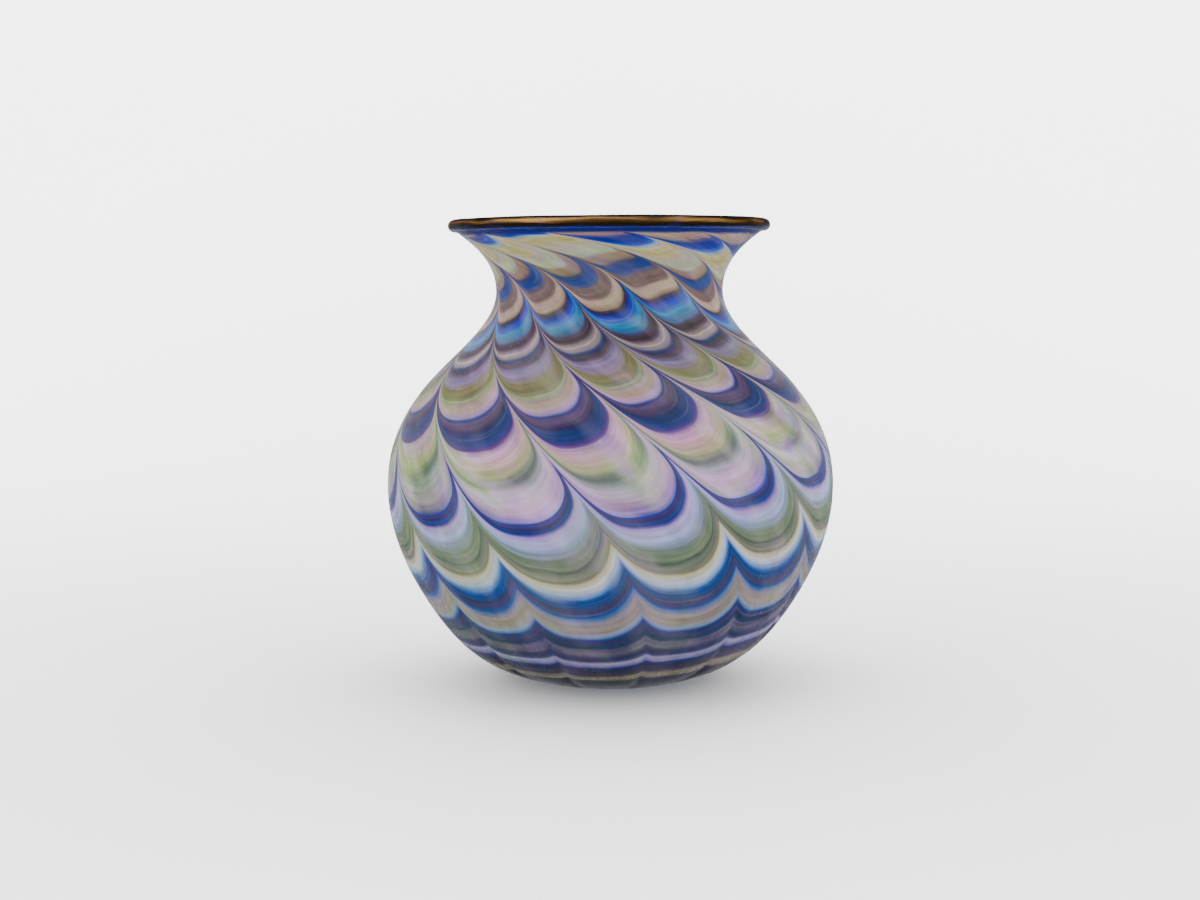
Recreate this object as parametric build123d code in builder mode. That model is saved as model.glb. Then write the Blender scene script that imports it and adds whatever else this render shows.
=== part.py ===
from build123d import *
import os
from math import ceil, cos, exp, floor, radians, sin

# Hand blown vase: a dark cobalt glass body, wound with hot coloured glass threads that were
# marvered flush and combed upwards in twelve places, and a bronze glass wrap round the mouth.
# Millimetres, +Z up, origin on the axis at the level of the ground foot.

os.makedirs("parts", exist_ok=True)

# ---------------------------------------------------------------- driving dimensions
THREAD_DEPTH = 1.0  # how deep the combed threads are set into the body
FOOT_RADIUS = 27.6  # outer edge of the ground foot
FOOT_BAND = 2.6  # bare body glass between the foot and the first thread, along the outline
PONTIL_RADIUS = 12.5  # polished hollow where the pontil was ground away
PONTIL_DEPTH = 1.2
FLOOR_HEIGHT = 7.5  # inside floor above the foot, on the axis
WRAP_RADIUS = 2.0  # lip wrap, radius of its round section
WRAP_CENTRE = (49.3, 144.1)  # centre of that section: distance from the axis, height
RIM_TIP = 0.8  # how far the rounded rim reaches past the threads, inside the wrap
RIM_MIDDLE = 1.8  # depth of the rim's tip below the outline
PONTIL_SPHERE = (PONTIL_RADIUS**2 + PONTIL_DEPTH**2) / (2 * PONTIL_DEPTH)

# Outline of the outside, as (radius, height), from the foot to where the lip wrap hides it.
OUTLINE = [
    (FOOT_RADIUS, 0.0),
    (37.9, 3.9),
    (47.4, 10.3),
    (58.6, 24.0),
    (68.7, 44.8),
    (71.4, 60.5),
    (69.4, 75.3),
    (58.2, 94.4),
    (43.8, 109.0),
    (36.3, 122.2),
    (38.5, 132.0),
    (49.2, 142.5),
]
OUTLINE_START = (1.0, 0.33)  # directions of the outline at its two ends
OUTLINE_END = (0.82, 0.57)

# Thickness of the whole wall, threads included, at lengths along the outline.
WALL = [(18.0, 7.0), (36.0, 5.0), (60.0, 3.8), (95.0, 3.2), (130.0, 3.4), (158.0, 3.2), (176.0, 2.6)]

# ---------------------------------------------------------------- the combed pattern
# The pick was drawn from the foot to the mouth along twelve lines. Each line starts at one of
# these azimuths (degrees from the front, growing to the right) and leans over as it climbs.
COMBS = [-20.0, 11.0, 40.0, 68.0, 98.0, 128.0, 157.0, 188.0, 219.0, 250.0, 281.0, 312.5]
LEAN = [
    (0.0, 1.0),
    (32.0, 0.0),
    (57.7, -6.0),
    (83.3, -18.0),
    (109.0, -37.5),
    (128.2, -56.0),
    (144.2, -75.0),
    (160.2, -101.0),
    (169.8, -132.0),
    (178.0, -162.0),
]
# How hard the pick dragged at each line, and how far the threads sit above their nominal
# place midway between a line and the next, because they were wound as a slow spiral.
DRAG_SHARE = [1.0, 1.0, 1.15, 1.15, 1.0, 1.0, 1.05, 0.95, 1.1, 1.0, 0.95, 1.05]
RISE = [0.0, 2.9, 7.4, 10.6, 14.1, 9.6, 6.4, 4.2, 2.9, 1.9, 1.3, 0.3]
RISE_UPPER = [1.2, 6.0, 9.0, 9.6, 14.0, 8.0, 5.5, 4.2, 3.4, 2.4, 1.6, 1.0]
RISE_BUILD_UP = 19.0  # the spiral is level at the foot and has its full rise from here up
UPPER_FROM, UPPER_TO = 105.0, 122.0  # nominal places between which the second rise takes over
# Length of the drag, by the thread's nominal place along the outline.
DRAG = [
    (12.0, 0.0),
    (19.2, 0.6),
    (32.0, 3.5),
    (38.5, 7.7),
    (51.3, 11.5),
    (64.1, 12.6),
    (73.7, 12.2),
    (89.7, 11.2),
    (105.8, 10.0),
    (137.8, 6.5),
    (153.8, 5.0),
    (176.3, 3.0),
]
# Powers of the two sides of a dragged peak, by nominal place: the left side is the broad one.
LEFT_FLANK = [(60.0, 5.0), (84.0, 3.4), (124.0, 2.8)]
RIGHT_FLANK = [(60.0, 8.0), (84.0, 13.0), (124.0, 13.0)]
NECK_LIMIT = 171.4  # above this the threads crowd together under the lip wrap
COLLAR_OVERLAP = 1.2  # the cutting collars of the threads reach this far past their depth
COLLAR_STRIP = 4.0  # longest straight step of a collar's wall along the outline
# Shares of the way across a column where a boundary is laid out, closest at the combs.
STATIONS = [0.0, 0.02, 0.05, 0.09, 0.14, 0.2, 0.28, 0.38, 0.48, 0.58, 0.67, 0.75, 0.82, 0.88]
STATIONS += [0.93, 0.97, 1.0]

# Threads from the foot to the mouth, with the nominal place where each one ends.
THREADS = [
    ("indigo_foot", 14.4),
    ("khaki", 18.6),
    ("low_plum", 23.7),
    ("low_lilac", 26.9),
    ("indigo", 29.5),
    ("mauve_grey", 33.0),
    ("slate_teal", 37.2),
    ("sand", 44.9),
    ("slate_cobalt", 50.6),
    ("white_cream", 57.7),
    ("sage", 66.7),
    ("lavender", 72.7),
    ("midnight", 75.6),
    ("pearl", 86.5),
    ("citron", 90.4),
    ("rose", 95.8),
    ("royal_blue", 101.3),
    ("plum_brown", 105.4),
    ("blush_cream", 111.4),
    ("olive", 115.4),
    ("lilac_grey", 119.6),
    ("umber_navy", 123.9),
    ("pale_pink", 126.8),
    ("dark_brown", 129.9),
    ("cyan", 134.4),
    ("deep_blue", 138.4),
    ("neck_cream", 141.8),
    ("mauve_brown", 145.4),
    ("neck_cobalt", 148.9),
    ("copper", 151.6),
    ("pale_olive", 160.2),
    ("upper_cobalt", 165.0),
    ("blush_under_lip", None),
]


def smooth(table, x):
    """Smooth curve through the rows of a table, held level past both ends of it."""
    if x <= table[0][0]:
        return table[0][1]
    if x >= table[-1][0]:
        return table[-1][1]
    slopes = [(b[1] - a[1]) / (b[0] - a[0]) for a, b in zip(table, table[1:])]
    slopes = [slopes[0]] + slopes + [slopes[-1]]
    row = max(i for i in range(len(table) - 1) if table[i][0] <= x)
    (x0, y0), (x1, y1) = table[row], table[row + 1]
    start = (slopes[row] + slopes[row + 1]) / 2
    end = (slopes[row + 1] + slopes[row + 2]) / 2
    span = x1 - x0
    u = (x - x0) / span
    ease = u * u * (3 - 2 * u)
    return y0 + (y1 - y0) * ease + span * (start * u * (1 - u) ** 2 - end * u * u * (1 - u))


# ---------------------------------------------------------------- outline curves
with BuildLine() as outline_line:
    Spline(*OUTLINE, tangents=[OUTLINE_START, OUTLINE_END])
outline = outline_line.edges()[0]
THREADS_TOP = outline.length  # the threads end inside the lip wrap


def outline_place(length, inwards):
    """Radius and height at a length along the outline, moved inwards square to it."""
    on_curve = min(max(length, 0.0), outline.length)
    point = outline.position_at(on_curve, PositionMode.LENGTH)
    along = outline.tangent_at(on_curve, PositionMode.LENGTH)
    past = length - on_curve
    radius = point.X + along.X * past - along.Y * inwards
    height = point.Y + along.Y * past + along.X * inwards
    return radius, height


def even_lengths(start, end, count):
    """Evenly spaced lengths from start to end, both included."""
    return [start + (end - start) * i / (count - 1) for i in range(count)]


threads_face = outline.trim(FOOT_BAND / outline.length, 1.0)
foot_edge = outline.trim(0.0, FOOT_BAND / outline.length)
with BuildLine() as bed_line:
    Spline(*[outline_place(s, THREAD_DEPTH) for s in even_lengths(FOOT_BAND, THREADS_TOP, 41)])
bed = bed_line.edges()[0]
with BuildLine() as cavity_line:
    wall_lengths = even_lengths(WALL[0][0], THREADS_TOP, 16)
    Spline(
        (0.0, FLOOR_HEIGHT),
        *[outline_place(s, smooth(WALL, s)) for s in wall_lengths],
        tangents=[(1.0, 0.0), OUTLINE_END],
    )
cavity = cavity_line.edges()[0]


# ---------------------------------------------------------------- dragged thread boundaries
def eased(u):
    """Share that leaves 0 and reaches 1 level, held outside that range."""
    u = min(1.0, max(0.0, u))
    return u * u * (3 - 2 * u)


def rise(phase, nominal):
    """How far the spiral has climbed, level between neighbouring mid-column values."""
    column = floor(phase - 0.5)
    onwards = eased(phase - 0.5 - column)
    low, high = (
        table[column % len(COMBS)] * (1 - onwards) + table[(column + 1) % len(COMBS)] * onwards
        for table in (RISE, RISE_UPPER)
    )
    upper_share = eased((nominal - UPPER_FROM) / (UPPER_TO - UPPER_FROM))
    return (low * (1 - upper_share) + high * upper_share) * min(1.0, nominal / RISE_BUILD_UP)


def boundary_length(nominal, column, t):
    """Length along the outline of a thread's edge, a share t of the way across a column."""
    if not FOOT_BAND < nominal < THREADS_TOP:
        return nominal
    following = (column + 1) % len(COMBS)
    left = DRAG_SHARE[following] * t ** smooth(LEFT_FLANK, nominal)
    right = DRAG_SHARE[column] * (1 - t) ** smooth(RIGHT_FLANK, nominal)
    length = nominal + rise(column + t, nominal) + smooth(DRAG, nominal) * (left + right)
    if length > NECK_LIMIT:
        room = THREADS_TOP - NECK_LIMIT
        length = NECK_LIMIT + room * (1 - exp((NECK_LIMIT - length) / room))
    return length


def surface_point(azimuth, length, inwards):
    """Point on the vase at an azimuth from the front and a length along the outline."""
    radius, height = outline_place(length, inwards)
    angle = radians(azimuth)
    return radius * sin(angle), -radius * cos(angle), height


def collar_edges(lower, upper, share, inwards):
    """One smooth edge per column, a share of the way between two boundaries."""
    edges = []
    for column, comb in enumerate(COMBS):
        width = (COMBS[(column + 1) % len(COMBS)] - comb) % 360
        points = []
        for t in STATIONS:
            low, high = (boundary_length(nominal, column, t) for nominal in (lower, upper))
            length = low + (high - low) * share
            points.append(surface_point(comb + t * width + smooth(LEAN, length), length, inwards))
        edges.append(Edge.make_spline(points))
    return edges


def collar(lower, upper):
    """Closed ring between two boundaries that reaches out and in past the threads' depth."""
    strips = ceil((upper - lower) / COLLAR_STRIP)
    outside, inside = (
        [collar_edges(lower, upper, row / strips, inwards) for row in range(strips + 1)]
        for inwards in (-COLLAR_OVERLAP, THREAD_DEPTH + COLLAR_OVERLAP)
    )
    pairs = [(outside[0], inside[0]), (outside[-1], inside[-1])]
    pairs += zip(outside, outside[1:])
    pairs += zip(inside, inside[1:])
    return Solid(Shell([Face.make_surface_from_curves(*ab) for pair in pairs for ab in zip(*pair)]))


def write(builder, name):
    """Label a finished piece and write it to its own file."""
    builder.part.label = name
    export_step(builder.part, f"parts/{name}.step", write_pcurves=False)


# ---------------------------------------------------------------- blown body
with BuildPart() as body:
    with BuildSketch(Plane.XZ):
        with BuildLine():
            Line((PONTIL_RADIUS, 0.0), foot_edge @ 0)
            add(foot_edge)
            Line(threads_face @ 0, bed @ 0)
            add(bed)
            ThreePointArc(bed @ 1, outline_place(THREADS_TOP + RIM_TIP, RIM_MIDDLE), cavity @ 1)
            add(cavity)
            Line(cavity @ 0, (0.0, PONTIL_DEPTH))
            RadiusArc((0.0, PONTIL_DEPTH), (PONTIL_RADIUS, 0.0), PONTIL_SPHERE)
        make_face()
    revolve(axis=Axis.Z)
write(body, "body")

# ---------------------------------------------------------------- layer of combed threads
with BuildPart() as thread_layer:
    with BuildSketch(Plane.XZ):
        with BuildLine():
            add(threads_face)
            add(bed)
            Line(threads_face @ 0, bed @ 0)
            Line(threads_face @ 1, bed @ 1)
        make_face()
    revolve(axis=Axis.Z)

lower = -COLLAR_STRIP
for number, (colour, nominal_end) in enumerate(THREADS, start=1):
    upper = nominal_end or THREADS_TOP + COLLAR_STRIP
    thread_collar = collar(lower, upper)
    with BuildPart() as thread:
        add(thread_layer.part)
        add(thread_collar, mode=Mode.INTERSECT)
    write(thread, f"thread_{number:02d}_{colour}")
    lower = upper

# ---------------------------------------------------------------- lip wrap
with BuildPart() as lip_wrap:
    with BuildSketch(Plane.XZ):
        with Locations(WRAP_CENTRE):
            Circle(WRAP_RADIUS)
    revolve(axis=Axis.Z)
    add(thread_layer.part, mode=Mode.SUBTRACT)
    add(body.part, mode=Mode.SUBTRACT)
write(lip_wrap, "lip_wrap")
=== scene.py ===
from math import ceil, cos, pi, radians, sin

import bpy
import numpy as np
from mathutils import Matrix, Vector


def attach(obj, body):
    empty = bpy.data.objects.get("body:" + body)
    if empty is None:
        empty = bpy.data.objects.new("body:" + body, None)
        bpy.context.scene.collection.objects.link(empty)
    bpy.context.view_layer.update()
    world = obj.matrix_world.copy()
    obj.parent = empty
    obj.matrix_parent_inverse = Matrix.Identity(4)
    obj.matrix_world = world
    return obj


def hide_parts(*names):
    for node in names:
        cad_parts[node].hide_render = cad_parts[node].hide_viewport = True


# Hand blown vase: coloured glass threads combed upwards over a cobalt body, with a lustred lip.
# Lengths in the tables are millimetres, as in the design; meshes are in metres.

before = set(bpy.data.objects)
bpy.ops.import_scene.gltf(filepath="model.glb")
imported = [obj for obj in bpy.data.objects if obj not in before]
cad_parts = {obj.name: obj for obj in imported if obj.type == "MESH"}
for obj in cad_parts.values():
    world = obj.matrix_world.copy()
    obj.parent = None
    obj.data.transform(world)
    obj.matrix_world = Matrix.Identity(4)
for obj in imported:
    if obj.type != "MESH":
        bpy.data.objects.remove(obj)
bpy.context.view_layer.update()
MM = 0.001

# ---------------------------------------------------------------- the vase's outline
OUTLINE = [
    (27.6, 0.0),
    (37.9, 3.9),
    (47.4, 10.3),
    (58.6, 24.0),
    (68.7, 44.8),
    (71.4, 60.5),
    (69.4, 75.3),
    (58.2, 94.4),
    (43.8, 109.0),
    (36.3, 122.2),
    (38.5, 132.0),
    (49.2, 142.5),
]
OUTLINE_START = (1.0, 0.33)
OUTLINE_END = (0.82, 0.57)
THREAD_DEPTH = 1.0
FOOT_BAND = 2.6  # bare body glass below the first thread, measured along the outline
PONTIL_RADIUS = 12.5
PONTIL_DEPTH = 1.2
FLOOR_HEIGHT = 7.5
WRAP_RADIUS = 2.0
WRAP_CENTRE = (49.3, 144.1)
RIM_TIP = 0.8
RIM_MIDDLE = 1.8
WALL = [(18.0, 7.0), (36.0, 5.0), (60.0, 3.8), (95.0, 3.2), (130.0, 3.4), (158.0, 3.2), (176.0, 2.6)]

# ---------------------------------------------------------------- the combed pattern
# Azimuth in degrees where each comb starts at the foot. A column is the glass from one comb to the next.
COMBS = [-20.0, 11.0, 40.0, 68.0, 98.0, 128.0, 157.0, 188.0, 219.0, 250.0, 281.0, 312.5]
COLUMNS = len(COMBS)
# Degrees that the combs have turned, by length along the outline.
LEAN = [
    (0.0, 1.0),
    (32.0, 0.0),
    (57.7, -6.0),
    (83.3, -18.0),
    (109.0, -37.5),
    (128.2, -56.0),
    (144.2, -75.0),
    (160.2, -101.0),
    (169.8, -132.0),
    (178.0, -162.0),
]
# How strongly each comb drags, and how far each column's trails have climbed in their spiral.
DRAG_SHARE = [1.0, 1.0, 1.15, 1.15, 1.0, 1.0, 1.05, 0.95, 1.1, 1.0, 0.95, 1.05]
RISE = [0.0, 2.9, 7.4, 10.6, 14.1, 9.6, 6.4, 4.2, 2.9, 1.9, 1.3, 0.3]
RISE_UPPER = [1.2, 6.0, 9.0, 9.6, 14.0, 8.0, 5.5, 4.2, 3.4, 2.4, 1.6, 1.0]
RISE_BUILD_UP = 19.0  # the spiral starts flat at the foot and is full from here
UPPER_FROM, UPPER_TO = 105.0, 122.0  # the rise passes from the first table to the second here
# How far the combs drag a seam upwards, by its nominal place.
DRAG = [
    (12.0, 0.0),
    (19.2, 0.6),
    (32.0, 3.5),
    (38.5, 7.7),
    (51.3, 11.5),
    (64.1, 12.6),
    (73.7, 12.2),
    (89.7, 11.2),
    (105.8, 10.0),
    (137.8, 6.5),
    (153.8, 5.0),
    (176.3, 3.0),
]
# Powers of the two sides of a dragged peak, by nominal place: the left side is the broad one.
LEFT_FLANK = [(60.0, 5.0), (84.0, 3.4), (124.0, 2.8)]
RIGHT_FLANK = [(60.0, 8.0), (84.0, 13.0), (124.0, 13.0)]
# Thin feathered tips drawn out of the peaks by the pick, finer than the design's own threads.
TIP = [(60.0, 0.0), (84.0, 7.4), (105.8, 6.0), (137.8, 3.5), (153.8, 2.5), (176.0, 1.0)]
TIP_POWER = 40
NECK_LIMIT = 171.4  # seams that would pass this length are crowded together below the lip

# Each thread: name, nominal end along the outline, finish, and its colours from its lower edge
# (0) to its upper edge (1). Neighbours share their edge colours, so the threads melt together.
THREADS = [
    (
        "indigo_foot", 14.4, "dark",
        [
            (0.0, "282639"), (0.5, "2f2d44"), (0.85, "282b4a"), (1.0, "474b5c"),
        ],
    ),
    ("khaki", 18.6, "opal", [(0.0, "474b5c"), (0.3, "a29c82"), (0.7, "9c967e"), (1.0, "504e5c")]),
    (
        "low_plum", 23.7, "dark",
        [
            (0.0, "504e5c"), (0.3, "4a4560"), (0.7, "3e3b5c"), (0.92, "24367a"),
            (1.0, "4a568e"),
        ],
    ),
    ("low_lilac", 26.9, "opal", [(0.0, "4a568e"), (0.4, "a09cc4"), (0.75, "b4aac8"), (1.0, "565a86")]),
    ("indigo", 29.5, "dark", [(0.0, "565a86"), (0.35, "3f4468"), (0.8, "4a4c6a"), (1.0, "57556e")]),
    (
        "mauve_grey", 33.0, "opal",
        [
            (0.0, "57556e"), (0.35, "6e6a7c"), (0.75, "625e78"), (1.0, "3c4666"),
        ],
    ),
    (
        "slate_teal", 37.2, "dark",
        [
            (0.0, "3c4666"), (0.2, "1e4660"), (0.5, "4a426c"), (0.75, "2c426c"),
            (0.9, "345490"), (1.0, "6480ac"),
        ],
    ),
    (
        "sand", 44.9, "opal",
        [
            (0.0, "6480ac"), (0.12, "96a4ba"), (0.3, "a09a8c"), (0.6, "a0968c"),
            (0.8, "8e8f9e"), (1.0, "3a6ea4"),
        ],
    ),
    (
        "slate_cobalt", 50.6, "dark",
        [
            (0.0, "3a6ea4"), (0.12, "245490"), (0.28, "4a4a70"), (0.6, "46486a"),
            (0.8, "285488"), (1.0, "184e8e"),
        ],
    ),
    (
        "white_cream", 57.7, "opal",
        [
            (0.0, "184e8e"), (0.14, "2a68a8"), (0.3, "86a8d2"), (0.5, "c0cadc"),
            (0.7, "d6d8ce"), (0.88, "c6c2a2"), (1.0, "84826a"),
        ],
    ),
    (
        "sage", 66.7, "opal",
        [
            (0.0, "84826a"), (0.13, "888e7a"), (0.3, "74806e"), (0.4, "5f6c5f"),
            (0.46, "829074"), (0.75, "7c8c76"), (0.9, "8c9aa2"), (1.0, "8a9cae"),
        ],
    ),
    (
        "lavender", 72.7, "opal",
        [
            (0.0, "8a9cae"), (0.2, "aab6da"), (0.55, "bcbce4"), (0.8, "b8a2da"),
            (0.93, "6c5aa6"), (1.0, "2b3c84"),
        ],
    ),
    (
        "midnight", 75.6, "dark",
        [
            (0.0, "2b3c84"), (0.2, "1b4a90"), (0.45, "46396c"), (0.75, "48407a"),
            (0.92, "223f9a"), (1.0, "5458b4"),
        ],
    ),
    # the palest pinkish-white stops of the pearl thread are partly its own pale glass and partly a painted
    # highlight
    (
        "pearl", 86.5, "pearl",
        [
            (0.0, "5458b4"), (0.08, "a48cd0"), (0.3, "c8aed0"), (0.5, "d6c4dc"),
            (0.7, "d0ccd8"), (0.84, "a8b4b2"), (0.92, "88948c"), (1.0, "7c8880"),
        ],
    ),
    ("citron", 90.4, "pearl", [(0.0, "7c8880"), (0.3, "98a68c"), (0.6, "bcc298"), (1.0, "d0c6ac")]),
    (
        "rose", 95.8, "pearl",
        [
            (0.0, "d0c6ac"), (0.3, "dcc0c4"), (0.7, "d2b2cc"), (0.92, "b090b8"),
            (1.0, "7c5c90"),
        ],
    ),
    (
        "royal_blue", 101.3, "dark",
        [
            (0.0, "7c5c90"), (0.13, "553f80"), (0.3, "34427c"), (0.6, "243e70"),
            (0.85, "22386a"), (1.0, "382e58"),
        ],
    ),
    (
        "plum_brown", 105.4, "dark",
        [
            (0.0, "382e58"), (0.35, "5a4664"), (0.75, "5e4a70"), (0.9, "222e78"),
            (1.0, "4c4c8c"),
        ],
    ),
    (
        "blush_cream", 111.4, "opal",
        [
            (0.0, "4c4c8c"), (0.12, "b49cc8"), (0.3, "baa0a6"), (0.5, "bba890"),
            (0.7, "b3a098"), (0.85, "90a082"), (0.93, "b4b488"), (1.0, "84906a"),
        ],
    ),
    (
        "olive", 115.4, "opal",
        [
            (0.0, "84906a"), (0.3, "827e58"), (0.65, "8a8658"), (0.88, "868064"),
            (1.0, "908474"),
        ],
    ),
    ("lilac_grey", 119.6, "opal", [(0.0, "908474"), (0.3, "9486a0"), (0.7, "9484a8"), (1.0, "746886")]),
    (
        "umber_navy", 123.9, "dark",
        [
            (0.0, "746886"), (0.2, "62505c"), (0.42, "5a4850"), (0.6, "2c3c6c"),
            (0.78, "485474"), (1.0, "a0949c"),
        ],
    ),
    (
        "pale_pink", 126.8, "opal",
        [
            (0.0, "a0949c"), (0.3, "b09ca0"), (0.42, "dccec4"), (0.54, "b09ca0"),
            (1.0, "74606c"),
        ],
    ),
    ("dark_brown", 129.9, "dark", [(0.0, "74606c"), (0.3, "4a3e46"), (0.7, "5c4a4e"), (1.0, "545e8a")]),
    # the bright cyan and electric blue of the next two neck threads are partly the glass's own blue and
    # partly a painted iridescent flash
    (
        "cyan", 134.4, "lustre",
        [
            (0.0, "545e8a"), (0.25, "3c7ca8"), (0.55, "2090c0"), (0.8, "109ad8"),
            (1.0, "0a5cc8"),
        ],
    ),
    (
        "deep_blue", 138.4, "lustre",
        [
            (0.0, "0a5cc8"), (0.3, "0634b8"), (0.6, "231f6c"), (0.85, "50403c"),
            (1.0, "a8907c"),
        ],
    ),
    (
        "neck_cream", 141.8, "opal",
        [
            (0.0, "a8907c"), (0.2, "cab8a0"), (0.6, "ccb4a6"), (0.85, "c0a89c"),
            (1.0, "8c7870"),
        ],
    ),
    (
        "mauve_brown", 145.4, "dark",
        [
            (0.0, "8c7870"), (0.3, "84706a"), (0.8, "806e6a"), (1.0, "525682"),
        ],
    ),
    (
        "neck_cobalt", 148.9, "dark",
        [
            (0.0, "525682"), (0.25, "2c4c92"), (0.6, "234288"), (0.85, "3c4c74"),
            (1.0, "847068"),
        ],
    ),
    ("copper", 151.6, "opal", [(0.0, "847068"), (0.35, "98806f"), (0.75, "a08a78"), (1.0, "a8aca0")]),
    (
        "pale_olive", 160.2, "opal",
        [
            (0.0, "b0b4a4"), (0.15, "b8c49c"), (0.35, "b8aca4"), (0.5, "c0b68c"),
            (0.7, "bcb47c"), (0.88, "c8c090"), (1.0, "90a8c8"),
        ],
    ),
    (
        "upper_cobalt", 165.0, "dark",
        [
            (0.0, "90a8c8"), (0.15, "2c64b4"), (0.35, "0830a0"), (0.8, "0a3088"),
            (1.0, "5c5480"),
        ],
    ),
    (
        "blush_under_lip", None, "opal",
        [
            (0.0, "5c5480"), (0.2, "a88c88"), (0.5, "b09a8c"), (0.7, "2c3c94"),
            (1.0, "061e84"),
        ],
    ),
]

# ---------------------------------------------------------------- surface relief, all of it inwards
SKIN_CLEARANCE = 0.03  # keeps the smooth visual skin just inside the design's faceted box
GROOVE_WIDTH = 1.5  # half width of the valley that the pick left
GROOVE_DEPTH = [(0.0, 0.0), (3.0, 0.25), (10.0, 0.45), (30.0, 0.4), (55.0, 0.22), (110.0, 0.2), (165.0, 0.12)]
LOBE_DEPTH = [(0.0, 0.0), (3.0, 0.12), (12.0, 0.25), (34.0, 0.2), (60.0, 0.0)]  # swelling between combs
WOBBLE = 0.12  # slow unevenness of the hand made wall

ROW_STEP = 0.55  # rows of the threads' meshes along the outline
COLUMN_CUTS = 42  # cuts across each column between two combs


# ================================================================ curves and tables
def smooth(table, x):
    """Smooth curve through the rows of a table, held level past both ends of it."""
    places, values = np.array(table).T
    slopes = np.diff(values) / np.diff(places)
    slopes = np.concatenate([slopes[:1], slopes, slopes[-1:]])
    x = np.clip(x, places[0], places[-1])
    row = np.clip(np.searchsorted(places, x, side="right") - 1, 0, len(places) - 2)
    span = places[row + 1] - places[row]
    u = (x - places[row]) / span
    start = (slopes[row] + slopes[row + 1]) / 2
    end = (slopes[row + 1] + slopes[row + 2]) / 2
    ease = u * u * (3 - 2 * u)
    bend = span * (start * u * (1 - u) ** 2 - end * u * u * (1 - u))
    return values[row] + (values[row + 1] - values[row]) * ease + bend


def curve_through(points, start, end, steps=200):
    """Dense points on the smooth curve through some points, with its two end directions."""
    points = np.array(points)
    chords = np.linalg.norm(np.diff(points, axis=0), axis=1)
    size = len(points)
    system = np.eye(size)
    right = np.zeros((size, 2))
    right[0] = np.array(start) / np.linalg.norm(start)
    right[-1] = np.array(end) / np.linalg.norm(end)
    for i in range(1, size - 1):
        before, after = chords[i - 1], chords[i]
        system[i, i - 1 : i + 2] = after, 2 * (before + after), before
        arriving, leaving = points[i] - points[i - 1], points[i + 1] - points[i]
        right[i] = 3 * (arriving * after / before + leaving * before / after)
    ways = np.linalg.solve(system, right)
    dense = []
    for i in range(size - 1):
        u = np.linspace(0, 1, steps, endpoint=i == size - 2)[:, None]
        ease = u * u * (3 - 2 * u)
        bend = chords[i] * (ways[i] * u * (1 - u) ** 2 - ways[i + 1] * u * u * (1 - u))
        dense.append(points[i] + (points[i + 1] - points[i]) * ease + bend)
    return np.concatenate(dense)


OUTER = curve_through(OUTLINE, OUTLINE_START, OUTLINE_END)
OUTER_LENGTH = np.concatenate([[0], np.cumsum(np.linalg.norm(np.diff(OUTER, axis=0), axis=1))])
OUTER_WAY = np.gradient(OUTER, OUTER_LENGTH, axis=0)
OUTER_WAY /= np.linalg.norm(OUTER_WAY, axis=1)[:, None]
THREADS_TOP = OUTER_LENGTH[-1]


def outline_place(length, inwards):
    """Radius and height at a length along the outline, moved inwards square to it."""
    on_curve = np.clip(length, 0, THREADS_TOP)
    past = length - on_curve
    place = [np.interp(on_curve, OUTER_LENGTH, OUTER[:, i]) for i in (0, 1)]
    way = [np.interp(on_curve, OUTER_LENGTH, OUTER_WAY[:, i]) for i in (0, 1)]
    return place[0] + way[0] * past - way[1] * inwards, place[1] + way[1] * past + way[0] * inwards


# ================================================================ the combed pattern
def rise(phase, nominal):
    """How far the spiral has climbed at a phase, which counts comb columns round the vase."""
    place = phase - 0.5
    column = np.floor(place).astype(int)
    u = place - column
    ease = u * u * (3 - 2 * u)
    low, high = (
        np.array(table)[column % COLUMNS] * (1 - ease) + np.array(table)[(column + 1) % COLUMNS] * ease
        for table in (RISE, RISE_UPPER)
    )
    share = np.clip((nominal - UPPER_FROM) / (UPPER_TO - UPPER_FROM), 0, 1)
    share = share * share * (3 - 2 * share)
    return (low * (1 - share) + high * share) * min(1.0, nominal / RISE_BUILD_UP)


def boundary_length(nominal, column, t):
    """Length along the outline of a thread's edge, a share t of the way across each column."""
    if not FOOT_BAND < nominal < THREADS_TOP:
        return np.full_like(t, nominal)
    share = np.array(DRAG_SHARE)
    left = smooth(DRAG, nominal) * t ** smooth(LEFT_FLANK, nominal) + smooth(TIP, nominal) * t**TIP_POWER
    t = 1 - t
    right = smooth(DRAG, nominal) * t ** smooth(RIGHT_FLANK, nominal) + smooth(TIP, nominal) * t**TIP_POWER
    climbed = nominal + rise(column + 1 - t, nominal)
    length = climbed + share[(column + 1) % COLUMNS] * left + share[column] * right
    room = THREADS_TOP - NECK_LIMIT
    crowded = NECK_LIMIT + room * (1 - np.exp(np.minimum(0, NECK_LIMIT - length) / room))
    return np.where(length > NECK_LIMIT, crowded, length)


def column_places():
    """Comb column and share across it, for every cut round the vase, closest at the combs."""
    u = np.arange(COLUMN_CUTS) / COLUMN_CUTS
    t = 0.35 * u + 0.65 * (0.5 - 0.5 * np.cos(pi * u))
    column = np.repeat(np.arange(COLUMNS), COLUMN_CUTS)
    return column, np.tile(t, COLUMNS)


COLUMN, ACROSS = column_places()
COMB_AZIMUTHS = np.array(COMBS)
COLUMN_WIDTHS = (np.roll(COMB_AZIMUTHS, -1) - COMB_AZIMUTHS) % 360


def cut_turns(length):
    """Azimuth of every cut round the vase at a length along the outline, in radians."""
    return np.radians(COMB_AZIMUTHS[COLUMN] + ACROSS * COLUMN_WIDTHS[COLUMN] + smooth(LEAN, length))


def comb_distance(radius):
    """Millimetres from every cut to its nearer comb."""
    return np.minimum(ACROSS, 1 - ACROSS) * np.radians(COLUMN_WIDTHS[COLUMN]) * radius


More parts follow.
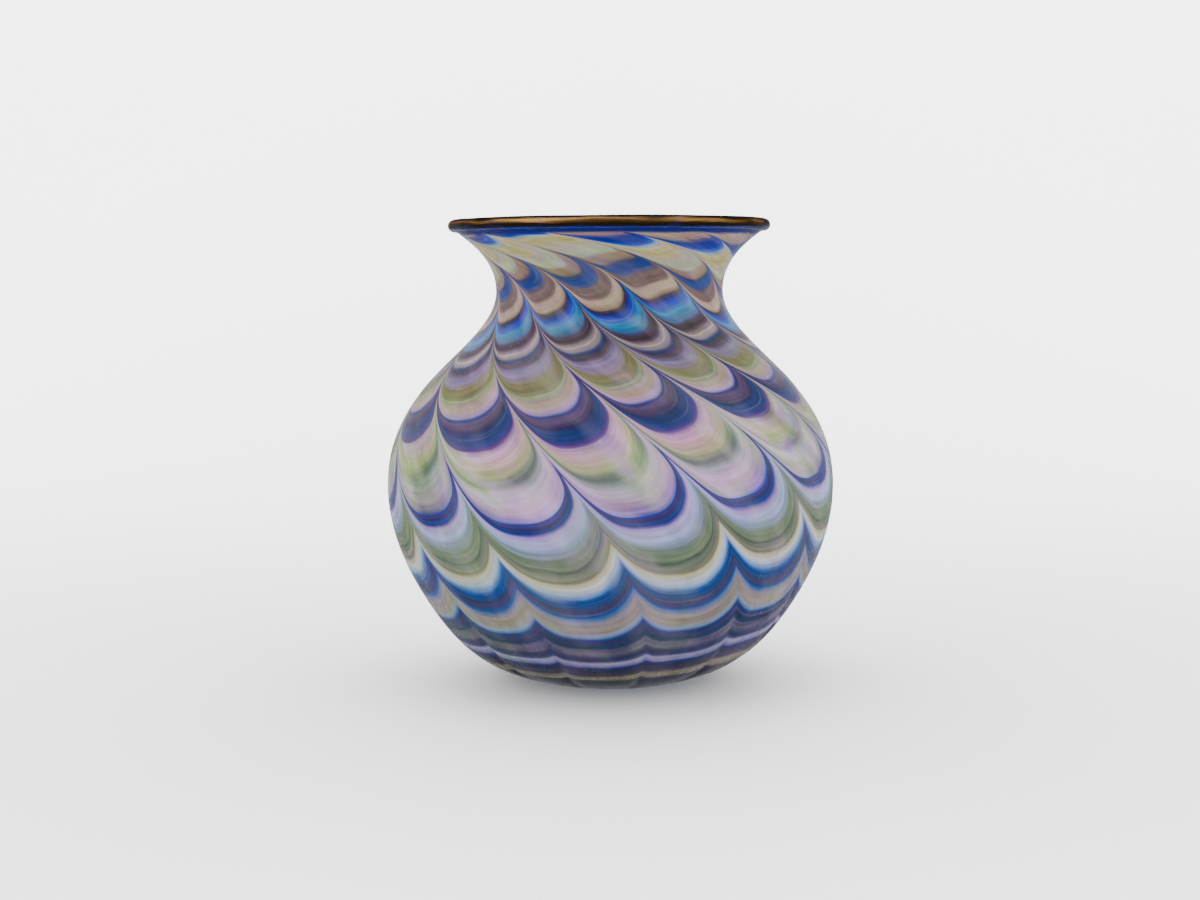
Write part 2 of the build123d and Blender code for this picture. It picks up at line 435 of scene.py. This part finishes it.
def relief(length, radius):
    """Depth of the surface below the outline, at every cut round the vase."""
    groove = smooth(GROOVE_DEPTH, length) * np.exp(-((comb_distance(radius) / GROOVE_WIDTH) ** 2))
    lobe = smooth(LOBE_DEPTH, length) * (1 - np.sin(pi * ACROSS)) ** 2
    turn = cut_turns(length)
    wobble = np.sin(2 * turn + length / 31) * np.sin(3 * turn - length / 23)
    return SKIN_CLEARANCE + groove + lobe + WOBBLE * (0.5 + 0.5 * wobble)


def place_on_vase(length, depth=None):
    """Points in metres for every cut, at lengths along the outline and a depth below it.

    Without a depth, they lie on the combed surface itself.
    """
    radius, _ = outline_place(length, 0)
    radius, height = outline_place(length, relief(length, radius) if depth is None else depth)
    turn = cut_turns(length)
    return np.stack([radius * np.sin(turn), -radius * np.cos(turn), height], axis=-1) * MM


# ================================================================ mesh making
def grid_faces(rows, columns, first=0, flip=False):
    """Quads of a grid that closes on itself round the vase."""
    row, column = np.meshgrid(np.arange(rows - 1), np.arange(columns), indexing="ij")
    following = (column + 1) % columns
    a, b = row * columns + column, row * columns + following
    c, d = b + columns, a + columns
    quads = np.stack([a, d, c, b] if flip else [a, b, c, d], axis=-1).reshape(-1, 4)
    return quads + first


def grid_normals(points):
    """Outward normals of a grid that closes on itself, from the quads round each point."""
    after = np.roll(points, -1, axis=1)
    face = np.cross(after[1:] - points[:-1], points[1:] - after[:-1])
    face = face + np.roll(face, 1, axis=1)
    total = np.zeros_like(points)
    total[:-1] += face
    total[1:] += face
    return total / np.linalg.norm(total, axis=-1, keepdims=True)


def make_piece(name, points, faces, material, attributes=None, normals=None):
    """A mesh object with its attributes, material and, if given, a normal for each vertex."""
    mesh = bpy.data.meshes.new(name)
    mesh.from_pydata(points.tolist(), [], faces if isinstance(faces, list) else faces.tolist())
    mesh.polygons.foreach_set("use_smooth", [True] * len(mesh.polygons))
    for label, values in (attributes or {}).items():
        kind = "FLOAT_VECTOR" if values.ndim == 2 else "FLOAT"
        layer = mesh.attributes.new(label, kind, "POINT")
        layer.data.foreach_set("vector" if values.ndim == 2 else "value", values.astype(np.float32).ravel())
    mesh.materials.append(material)
    mesh.update()
    if normals is not None:
        mesh.normals_split_custom_set_from_vertices(normals.tolist())
    piece = bpy.data.objects.new(name, mesh)
    bpy.context.scene.collection.objects.link(piece)
    return piece


# ================================================================ shader nodes
# How a colour as seen is deepened into the colour of the glass: gain, power and saturation.
GLASS_GAIN = 0.5
GLASS_DEPTH = 1.2
GLASS_RICHNESS = 1.12
GLASS_VEIL = (0.0045, 0.0045, 0.010)  # the lilac bloom that lies over the whole surface


class Nodes:
    """Short ways to add nodes to one material."""

    def __init__(self, name):
        self.material = bpy.data.materials.new(name)
        self.material.use_nodes = True
        self.tree = self.material.node_tree
        self.shader = self.tree.nodes["Principled BSDF"]

    def add(self, kind, **settings):
        node = self.tree.nodes.new(kind)
        for key, value in settings.items():
            setattr(node, key, value)
        return node

    def put(self, value, socket):
        """Links an output to a socket, or sets a plain value on it."""
        if isinstance(value, bpy.types.NodeSocket):
            self.tree.links.new(value, socket)
        else:
            socket.default_value = value

    def attribute(self, name, output="Fac"):
        return self.add("ShaderNodeAttribute", attribute_name=name).outputs[output]

    def maths(self, operation, a, b=0.0, clamp=False):
        node = self.add("ShaderNodeMath", operation=operation, use_clamp=clamp)
        self.put(a, node.inputs[0])
        self.put(b, node.inputs[1])
        return node.outputs[0]

    def scaled(self, vector, factors):
        node = self.add("ShaderNodeVectorMath", operation="MULTIPLY")
        self.put(vector, node.inputs[0])
        node.inputs[1].default_value = factors
        return node.outputs[0]

    def noise(self, vector, scale, detail=3.0, distortion=0.0):
        node = self.add("ShaderNodeTexNoise")
        self.put(vector, node.inputs["Vector"])
        node.inputs["Scale"].default_value = scale
        node.inputs["Detail"].default_value = detail
        node.inputs["Distortion"].default_value = distortion
        return node.outputs["Fac"]

    def span(self, value, from_low, from_high, to_low, to_high):
        node = self.add("ShaderNodeMapRange")
        self.put(value, node.inputs["Value"])
        labels = ("From Min", "From Max", "To Min", "To Max")
        for label, number in zip(labels, (from_low, from_high, to_low, to_high)):
            node.inputs[label].default_value = number
        return node.outputs[0]

    def ramp(self, value, stops, make_colour=None):
        node = self.add("ShaderNodeValToRGB")
        self.put(value, node.inputs[0])
        fill_ramp(node.color_ramp, stops, make_colour or colour)
        return node.outputs[0]

    def mix(self, share, a, b, blend="MIX"):
        node = self.add("ShaderNodeMix", data_type="RGBA", blend_type=blend)
        for value, socket in ((share, node.inputs[0]), (a, node.inputs[6]), (b, node.inputs[7])):
            self.put(value, socket)
        return node.outputs[2]

    def bump(self, height, strength, distance):
        node = self.add("ShaderNodeBump")
        node.inputs["Strength"].default_value = strength
        node.inputs["Distance"].default_value = distance
        self.put(height, node.inputs["Height"])
        self.put(node.outputs[0], self.shader.inputs["Normal"])


def colour(code):
    """A colour for a socket from a hex code as seen on a screen."""
    parts = [int(code[i : i + 2], 16) / 255 for i in (0, 2, 4)]
    return [p / 12.92 if p <= 0.04045 else ((p + 0.055) / 1.055) ** 2.4 for p in parts] + [1.0]


def glass_colour(code):
    """The deeper, richer colour in the glass itself that looks like the code under white light."""
    *parts, alpha = colour(code)
    grey = 0.2126 * parts[0] + 0.7152 * parts[1] + 0.0722 * parts[2]
    rich = [max(0.001, grey + (part - grey) * GLASS_RICHNESS) for part in parts]
    return [GLASS_GAIN * part**GLASS_DEPTH + veil for part, veil in zip(rich, GLASS_VEIL)] + [alpha]


def fill_ramp(ramp, stops, make_colour):
    while len(ramp.elements) > 1:
        ramp.elements.remove(ramp.elements[-1])
    ramp.elements[0].position, ramp.elements[0].color = stops[0][0], make_colour(stops[0][1])
    for place, code in stops[1:]:
        ramp.elements.new(place).color = make_colour(code)


# Finish of the threads: roughness, clear coat, how pale the drawn streaks are, how strongly the
# tint of the column shows, and how strong the slow pearly sheen is, a painted iridescent highlight.
FINISHES = {
    "dark": (0.2, 0.0, 0.08, 0.12, 0.05),
    "opal": (0.24, 0.0, 0.15, 0.25, 0.12),
    "pearl": (0.24, 0.0, 0.2, 0.85, 0.38),
    "lustre": (0.18, 0.2, 0.15, 0.1, 0.1),
}


def thread_material(name, finish, stops):
    """Combed glass thread: its colours run along the thread with fine drawn streaks."""
    roughness, coat, streak_strength, tint_strength, painted_sheen_strength = FINISHES[finish]
    n = Nodes(name)
    flow = n.attribute("flow", "Vector")
    share = n.attribute("share")
    tint = n.attribute("tint")

    # the colours wander a little, but not at the seams, where they meet the next thread's
    wander = n.span(n.noise(n.scaled(flow, (1.0, 1.0, 2.0)), 0.11, 2.0), 0.25, 0.75, -0.3, 0.3)
    edge_free = n.maths("MULTIPLY", share, n.maths("SUBTRACT", 1.0, share))
    moved = n.maths("MULTIPLY_ADD", wander, edge_free)
    n.put(share, moved.node.inputs[2])
    base = n.ramp(moved, stops, glass_colour)

    # drawn streaks, fine across the thread and long along it
    streaks = n.noise(n.scaled(flow, (0.04, 0.04, 0.9)), 1.0, 2.0)
    streaks = n.span(streaks, 0.3, 0.7, 0.8, 1.2)
    base = n.mix(1.0, base, streaks, "MULTIPLY")
    threads = n.noise(n.scaled(flow, (0.025, 0.025, 0.8)), 1.0, 1.0)
    pale = n.span(threads, 0.62, 0.8, 0.0, streak_strength)
    base = n.mix(pale, base, n.mix(0.5, base, colour("d8d4e4")))

    # tint of each column between combs, green-grey to pink
    tints = [(0.0, "a2c684"), (0.3, "b8cea4"), (0.5, "dce0d8"), (0.75, "fbe4f4"), (1.0, "ffdcf6")]
    pearl = n.ramp(tint, tints)
    base = n.mix(tint_strength, base, n.mix(1.0, base, pearl, "MULTIPLY"))

    # slow pearly sheen, an iridescent highlight painted into the colour, from yellow-green through white to
    # pink and lilac
    painted_sheen = n.noise(n.scaled(flow, (0.7, 0.7, 1.1)), 0.11, 2.0, 0.4)
    sheen_hues = [(0.36, "b4d088"), (0.45, "e0e4b8"), (0.52, "f4e8f0"), (0.6, "f0c8ee"), (0.68, "c4a8f0")]
    where = n.span(n.noise(n.scaled(flow, (1.0, 1.0, 0.8)), 0.07, 1.0), 0.42, 0.6, 0.0, painted_sheen_strength)
    # painted highlight: the pearly sheen is mixed into the base colour
    base = n.mix(where, base, n.ramp(painted_sheen, sheen_hues, glass_colour))

    # soft blotches where the glass is thinner, and a darker line in the bed of each comb
    blotch = n.span(n.noise(flow, 0.2, 2.0), 0.3, 0.7, 0.88, 1.1)
    base = n.mix(1.0, base, blotch, "MULTIPLY")
    comb = n.maths("MULTIPLY", n.attribute("comb"), 0.2)
    base = n.mix(comb, base, n.mix(0.6, base, colour("1c2a60")))
    base = n.mix(n.attribute("lip"), base, glass_colour("10226c"))
    n.put(base, n.shader.inputs["Base Color"])

    uneven = n.noise(flow, 0.3, 1.0)
    n.put(n.span(uneven, 0.3, 0.7, roughness - 0.05, roughness + 0.08), n.shader.inputs["Roughness"])
    n.shader.inputs["IOR"].default_value = 1.22
    n.shader.inputs["Specular IOR Level"].default_value = 0.25
    n.shader.inputs["Coat Weight"].default_value = coat
    n.shader.inputs["Coat Roughness"].default_value = 0.12
    ripples = n.noise(n.scaled(flow, (0.06, 0.06, 0.5)), 1.0, 1.0)
    n.bump(n.maths("ADD", ripples, n.noise(flow, 0.2, 1.0)), 0.1, 0.00012)
    return n.material


def body_material():
    """Deep cobalt glass with a few paler drawn veils and seeds."""
    n = Nodes("body_glass")
    place = n.add("ShaderNodeTexCoord").outputs["Object"]
    veils = n.noise(n.scaled(place, (1.0, 1.0, 2.6)), 28.0, 5.0, 0.8)
    base = n.ramp(veils, [(0.3, "0a1238"), (0.5, "101f5c"), (0.62, "182c78"), (0.8, "31488c")])
    seeds = n.add("ShaderNodeTexVoronoi")
    n.put(place, seeds.inputs["Vector"])
    seeds.inputs["Scale"].default_value = 260.0
    seed = n.span(seeds.outputs["Distance"], 0.05, 0.11, 0.4, 0.0)
    base = n.mix(seed, base, colour("5c74b0"))
    n.put(base, n.shader.inputs["Base Color"])
    n.put(n.span(veils, 0.3, 0.7, 0.08, 0.18), n.shader.inputs["Roughness"])
    n.shader.inputs["IOR"].default_value = 1.35
    n.shader.inputs["Specular IOR Level"].default_value = 0.4
    n.bump(n.noise(n.scaled(place, (1.0, 1.0, 1.6)), 60.0, 2.0), 0.2, 0.0003)
    return n.material


def wrap_material():
    """Lustred lip wrap: bronze and gold streaks along it, dark on top, cobalt underneath; the brighter gold
    patches on its outer face are a painted highlight.
    """
    n = Nodes("lip_wrap_glass")
    flow = n.attribute("flow", "Vector")
    around = n.attribute("share")  # 0 under the bead, rising outside, over the top and into the mouth
    streaks = n.noise(n.scaled(flow, (0.06, 0.06, 1.0)), 1.0, 4.0, 0.3)
    moved = n.maths("ADD", around, n.span(streaks, 0.25, 0.75, -0.05, 0.05))
    bands = n.ramp(
        moved,
        [
            (0.0, "10205e"),
            (0.14, "152a80"),
            (0.22, "120e12"),
            (0.3, "20180e"),
            (0.38, "5a4220"),
            (0.44, "221810"),
            (0.5, "120e0c"),
            (0.62, "0e0c10"),
            (0.8, "0c0f2c"),
            (1.0, "10184c"),
        ],
    )
    patches = n.span(n.noise(n.scaled(flow, (1.0, 1.0, 0.6)), 0.075, 2.0), 0.52, 0.64, 0.0, 0.8)
    base = n.mix(patches, bands, n.ramp(streaks, [(0.35, "0c1028"), (0.65, "1a1e40")]))
    # painted highlight: gold on the middle of the outer face, in patches along the bead
    from_face = n.maths("ABSOLUTE", n.maths("MULTIPLY", n.maths("SUBTRACT", moved, 0.39), 14.0))
    face = n.maths("SUBTRACT", 1.0, from_face, True)
    painted_light = n.span(n.noise(n.scaled(flow, (0.045, 0.045, 0.1)), 1.0, 1.0), 0.46, 0.64, 0.1, 1.0)
    base = n.mix(n.maths("MULTIPLY", face, painted_light), base, colour("a47a46"))
    n.put(base, n.shader.inputs["Base Color"])
    metal = n.span(moved, 0.2, 0.34, 0.15, 0.9)
    n.put(metal, n.shader.inputs["Metallic"])
    n.shader.inputs["Specular Tint"].default_value = colour("6a5c54")
    n.put(n.span(streaks, 0.3, 0.7, 0.22, 0.32), n.shader.inputs["Roughness"])
    n.bump(streaks, 0.1, 0.0003)
    return n.material


# ================================================================ threads
BED_COVER = 0.3  # least thickness of a thread under its grooves
SEAM_ROW = 0.3  # how far past a seam the surface is read for its normals
PEARL_TINTS = [0.9, 0.45, 1.0, 0.1, 0.3, 0.7, 0.3, 0.8, 0.4, 0.9, 0.35, 0.0]  # by column
COMB_LINE = 0.7  # half width of the darker line in a comb's bed
LIP_LINE = 174.6  # the cobalt line under the lip wrap starts here and is full a little further on
LIP_LINE_FADE = 1.2
SEAM_GAP = 0.01  # clearance between the threads and the bed of the body
FLOW_RADIUS = 60  # round the vase, the flow coordinates are as if it were a drum of this radius


def bed_depth(length):
    """Depth of the joint between threads and body, below the deepest grooves too."""
    radius, _ = outline_place(length, 0)
    return np.maximum(THREAD_DEPTH, relief(length, radius) + BED_COVER)


def flow_attributes(lengths, nominals, shares):
    """Attributes that carry the pattern's own directions into the materials."""
    turn = 2 * pi * (COLUMN + ACROSS) / COLUMNS
    flow = np.broadcast_arrays(np.cos(turn) * FLOW_RADIUS, np.sin(turn) * FLOW_RADIUS, nominals)
    radius, _ = outline_place(lengths, 0)
    tints = np.array(PEARL_TINTS)
    share = np.clip((ACROSS - 0.5) * 4, -1, 1) * 0.5
    tint = tints[COLUMN] * (1 - np.abs(share)) + np.where(
        share > 0, tints[(COLUMN + 1) % COLUMNS], tints[COLUMN - 1]
    ) * np.abs(share)
    return {
        "flow": np.stack(flow, axis=-1).reshape(-1, 3),
        "share": np.broadcast_to(shares, nominals.shape).ravel(),
        "comb": np.exp(-((comb_distance(radius) / COMB_LINE) ** 2)).ravel(),
        "lip": np.clip((lengths - LIP_LINE) / LIP_LINE_FADE, 0, 1).ravel(),
        "tint": np.broadcast_to(tint, nominals.shape).ravel(),
    }


def make_thread(name, lower, upper, material):
    """One closed ring of glass between two combed seams."""
    low = boundary_length(lower, COLUMN, ACROSS)
    high = boundary_length(upper, COLUMN, ACROSS)
    count = max(3, ceil((upper - lower) / ROW_STEP) + 1)
    shares = np.linspace(0, 1, count)[:, None]
    lengths = low + (high - low) * shares
    extended = np.concatenate([[low - SEAM_ROW], lengths, [high + SEAM_ROW]])
    surface = np.array([place_on_vase(row) for row in extended])
    normals = grid_normals(surface)[1:-1]
    outside = surface[1:-1]
    inner_rows = [0, count // 2, count - 1]
    inside = np.array([place_on_vase(row, bed_depth(row) - SEAM_GAP) for row in lengths[inner_rows]])

    columns = len(COLUMN)
    points = np.concatenate([outside.reshape(-1, 3), inside.reshape(-1, 3)])
    inner_first = count * columns
    cut = np.arange(columns)
    after = (cut + 1) % columns
    top_out, top_in = (count - 1) * columns, inner_first + 2 * columns
    faces = np.concatenate(
        [
            grid_faces(count, columns),
            grid_faces(3, columns, inner_first, flip=True),
            np.stack([inner_first + cut, inner_first + after, after, cut], axis=-1),
            np.stack([top_out + cut, top_out + after, top_in + after, top_in + cut], axis=-1),
        ]
    )
    nominals = np.broadcast_to(lower + (upper - lower) * shares, lengths.shape)
    attributes = flow_attributes(lengths, nominals, shares)
    inner = flow_attributes(lengths[inner_rows], nominals[inner_rows], shares[inner_rows])
    attributes = {key: np.concatenate([attributes[key], inner[key]]) for key in attributes}
    all_normals = np.concatenate([normals.reshape(-1, 3), -normals[inner_rows].reshape(-1, 3)])
    return make_piece(name, points, faces, material, attributes, all_normals)


lower = FOOT_BAND
for number, (thread_name, end, finish, stops) in enumerate(THREADS, start=1):
    upper = end or THREADS_TOP
    node = f"thread_{number:02d}_{thread_name}"
    material = thread_material(f"{node}_glass", finish, stops)
    thread = make_thread(f"{node}_glass", lower, upper, material)
    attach(thread, "root")
    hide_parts(node)
    lower = upper


# ================================================================ blown body
FOOT_BEND = 0.6  # the ground foot ring ends this far inside the outline's start
CAVITY_TIP = 0.4  # radius at which the floor's rings end and a fan of triangles closes it


def turned_rows(profile, length):
    """Rings of points in metres, one for each place of a profile, at the cuts that a length has."""
    radius, height = (np.array(profile)[:, i : i + 1] * MM for i in (0, 1))
    turn = cut_turns(length)
    rings = np.broadcast_arrays(radius * np.sin(turn), -radius * np.cos(turn), height)
    return np.stack(rings, axis=-1)


def cavity_profile():
    """Inside of the wall from the rim down to the floor."""
    lengths = np.linspace(THREADS_TOP, WALL[0][0], 140)
    places = [outline_place(length, smooth(WALL, length)) for length in lengths]
    radius, height = places[-1]
    down = np.radians(np.linspace(0, 90, 40)[1:])
    places += [(radius * cos(a), FLOOR_HEIGHT + (height - FLOOR_HEIGHT) * (1 - sin(a))) for a in down]
    return places


def arc_through(start, middle, end, steps=10):
    """Places on the round arc through three places."""
    (ax, ay), (bx, by), (cx, cy) = start, middle, end
    double = 2 * (ax * (by - cy) + bx * (cy - ay) + cx * (ay - by))
    ux = ((ax**2 + ay**2) * (by - cy) + (bx**2 + by**2) * (cy - ay) + (cx**2 + cy**2) * (ay - by)) / double
    uy = ((ax**2 + ay**2) * (cx - bx) + (bx**2 + by**2) * (ax - cx) + (cx**2 + cy**2) * (bx - ax)) / double
    radius = np.hypot(ax - ux, ay - uy)
    first, half, last = (np.arctan2(y - uy, x - ux) for x, y in (start, middle, end))
    sweep = (last - first) % (2 * pi)
    if (half - first) % (2 * pi) > sweep:
        sweep -= 2 * pi
    angles = [first + sweep * i / steps for i in range(1, steps)]
    return [(ux + radius * cos(a), uy + radius * sin(a)) for a in angles]


def make_body():
    """Body with its foot, the bed that the threads lie on, the rounded rim and the inside."""
    pontil = [(PONTIL_RADIUS * s, PONTIL_DEPTH * (1 - s * s)) for s in np.linspace(0.02, 1, 16)]
    foot = [(r, 0.0) for r in np.linspace(PONTIL_RADIUS, OUTLINE[0][0] - FOOT_BEND, 12)[1:]]
    underneath = turned_rows(pontil + foot, 0.0)

    cuts = len(COLUMN)
    band = np.linspace(0.1, FOOT_BAND - 0.05, 7)
    skin = [place_on_vase(np.full(cuts, length)) for length in band]
    under_threads = np.linspace(FOOT_BAND - 0.02, THREADS_TOP, 150)
    bed = []
    for length in under_threads:
        row = np.full(cuts, length)
        bed.append(place_on_vase(row, bed_depth(row) + SEAM_GAP))

    rim_tip = outline_place(THREADS_TOP + RIM_TIP, RIM_MIDDLE)
    cavity = cavity_profile()
    rim = arc_through(outline_place(THREADS_TOP, THREAD_DEPTH + SEAM_GAP), rim_tip, cavity[0])
    inside = turned_rows(rim + cavity[:-1] + [(CAVITY_TIP, FLOOR_HEIGHT)], THREADS_TOP)
    rows = np.concatenate([underneath, skin, bed, inside])

    first, last = len(rows) * cuts, len(rows) * cuts + 1
    points = np.concatenate([rows.reshape(-1, 3), [(0, 0, PONTIL_DEPTH * MM), (0, 0, FLOOR_HEIGHT * MM)]])
    faces = grid_faces(len(rows), cuts).tolist()
    final = (len(rows) - 1) * cuts
    for cut in range(cuts):
        after = (cut + 1) % cuts
        faces.append((first, after, cut))
        faces.append((final + cut, final + after, last))
    return make_piece("body_glass", points, faces, body_material())


body = make_body()
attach(body, "root")
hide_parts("body")


# ================================================================ lip wrap
WRAP_CUTS = 540
WRAP_ROUND = 40
LAP_AZIMUTH = 172.0  # where the wrap was started and cut off, at the back
LAP_LENGTH = 9.0  # degrees either side over which its end melts in
LAP_DEPTH = 0.5
LAP_EDGE = 1.6  # how sharply the lap's end stands, per degree
WRAP_UNEVEN = 0.16
WRAP_START = -120  # degrees round the section: underneath, on the inner side
WRAP_FLOW = 12  # length of the section's outline in the flow coordinates


def make_wrap():
    """Bead of glass trailed round the lip, a little uneven, with a lap where it was cut off."""
    azimuth = np.linspace(0, 360, WRAP_CUTS, endpoint=False)[None, :]
    turn = np.radians(azimuth)
    around = np.linspace(0, 1, WRAP_ROUND, endpoint=False)[:, None]
    angle = np.radians(WRAP_START) + 2 * pi * around
    uneven = 0.5 + 0.5 * np.sin(3 * turn + 0.7) * np.sin(5 * turn + 2 * pi * around)
    off = (azimuth - LAP_AZIMUTH + 180) % 360 - 180
    lap = np.exp(-((off / LAP_LENGTH) ** 2)) * (0.5 + 0.5 * np.tanh(off * LAP_EDGE))
    section = WRAP_RADIUS - SKIN_CLEARANCE - WRAP_UNEVEN * uneven - LAP_DEPTH * lap
    radius = WRAP_CENTRE[0] + section * np.cos(angle)
    height = WRAP_CENTRE[1] + section * np.sin(angle)
    points = np.stack([radius * np.sin(turn), -radius * np.cos(turn), height], axis=-1) * MM
    points = points.reshape(-1, 3)
    row, column = np.meshgrid(np.arange(WRAP_ROUND), np.arange(WRAP_CUTS), indexing="ij")
    above, beside = (row + 1) % WRAP_ROUND, (column + 1) % WRAP_CUTS
    here, over = row * WRAP_CUTS, above * WRAP_CUTS
    corners = [here + column, here + beside, over + beside, over + column]
    faces = np.stack(corners, axis=-1).reshape(-1, 4)
    share = np.broadcast_to(around, radius.shape)
    flow = np.broadcast_arrays(
        FLOW_RADIUS * np.cos(turn), FLOW_RADIUS * np.sin(turn), WRAP_FLOW * around
    )
    attributes = {"share": share.ravel(), "flow": np.stack(flow, axis=-1).reshape(-1, 3)}
    return make_piece("lip_wrap_glass", points, faces, wrap_material(), attributes)


lip_wrap = make_wrap()
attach(lip_wrap, "root")
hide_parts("lip_wrap")


# ================================================================ stage, light and camera
def stage_material():
    """Pale matt paper with the faintest sheen, which glows as painted light: faintly next to the vase and far
    brighter away from it.
    """
    n = Nodes("paper")
    place = n.add("ShaderNodeTexCoord").outputs["Object"]
    fibres = n.noise(place, 900.0, 3.0)
    n.put(n.ramp(fibres, [(0.3, "ececed"), (0.7, "f2f2f3")]), n.shader.inputs["Base Color"])
    # painted light: the paper glows, dim next to the vase and brighter further away
    away = n.add("ShaderNodeVectorMath", operation="LENGTH")
    n.put(place, away.inputs[0])
    painted_light = n.span(away.outputs["Value"], 0.06, 0.8, 0.17, 2.45)
    n.put(colour("ffffff"), n.shader.inputs["Emission Color"])
    n.put(painted_light, n.shader.inputs["Emission Strength"])
    n.shader.inputs["Roughness"].default_value = 0.45
    n.shader.inputs["Specular IOR Level"].default_value = 0.35
    return n.material


STAGE_HALF, STAGE_FRONT, STAGE_BACK, STAGE_HEIGHT = 1.6, -1.4, 0.75, 1.6
STAGE_SWEEP, STAGE_STEPS = 0.35, 16  # radius of the sweep and its facets
STAGE_DROP = 0.0002  # keeps the paper clear of the foot


def make_stage():
    """Floor that sweeps up behind the vase without a corner."""
    bend = STAGE_BACK - STAGE_SWEEP
    profile = [(STAGE_FRONT, 0.0), (0.0, 0.0), (bend, 0.0)]
    for step in range(1, STAGE_STEPS + 1):
        a = radians(90 * step / STAGE_STEPS)
        profile.append((bend + STAGE_SWEEP * sin(a), STAGE_SWEEP - STAGE_SWEEP * cos(a)))
    profile.append((STAGE_BACK, STAGE_HEIGHT))
    sides = (-STAGE_HALF, STAGE_HALF)
    points = np.array([(x, y, z - STAGE_DROP) for y, z in profile for x in sides])
    faces = [(2 * i, 2 * i + 1, 2 * i + 3, 2 * i + 2) for i in range(len(profile) - 1)]
    return make_piece("stage", points, faces, stage_material())


stage = make_stage()
stage.visible_glossy = False  # the glass mirrors the even room instead of the far brighter paper


def soft_light(name, place, size, watts, aim=(0, 0, 0.08)):
    """A large soft panel that faces the vase."""
    data = bpy.data.lights.new(name, "AREA")
    data.shape = "RECTANGLE"
    data.size, data.size_y = size
    data.energy = watts
    light = bpy.data.objects.new(name, data)
    light.location = place
    light.rotation_euler = (Vector(aim) - Vector(place)).to_track_quat("-Z", "Y").to_euler()
    bpy.context.scene.collection.objects.link(light)


soft_light("panel_left", (-1.0, -0.35, 0.5), (1.2, 1.2), 8.0)
soft_light("panel_right", (1.0, -0.35, 0.5), (1.2, 1.2), 8.0)
soft_light("panel_top", (0.0, 0.0, 1.1), (1.4, 1.2), 20.0)


def make_world():
    """Pale even room, dimmer below the level of the floor."""
    world = bpy.data.worlds.new("pale_room")
    world.use_nodes = True
    tree = world.node_tree
    direction = tree.nodes.new("ShaderNodeTexCoord")
    split = tree.nodes.new("ShaderNodeSeparateXYZ")
    tree.links.new(direction.outputs["Generated"], split.inputs[0])
    strength = tree.nodes.new("ShaderNodeMapRange")
    tree.links.new(split.outputs["Z"], strength.inputs["Value"])
    limits = (("From Min", -0.35), ("From Max", 0.05), ("To Min", 0.4), ("To Max", 0.9))
    for label, number in limits:
        strength.inputs[label].default_value = number
    background = tree.nodes["Background"]
    tree.links.new(strength.outputs[0], background.inputs["Strength"])
    background.inputs["Color"].default_value = (0.96, 0.97, 1.0, 1.0)
    bpy.context.scene.world = world


make_world()

camera_data = bpy.data.cameras.new("camera")
camera_data.sensor_width = 36.0
camera_data.lens = 56.5
camera = bpy.data.objects.new("camera", camera_data)
camera.location = (-0.00324, -0.6036, 0.1288)
camera.rotation_euler = (radians(90 - 5.345), radians(0.315), radians(-0.03))
bpy.context.scene.collection.objects.link(camera)
bpy.context.scene.camera = camera
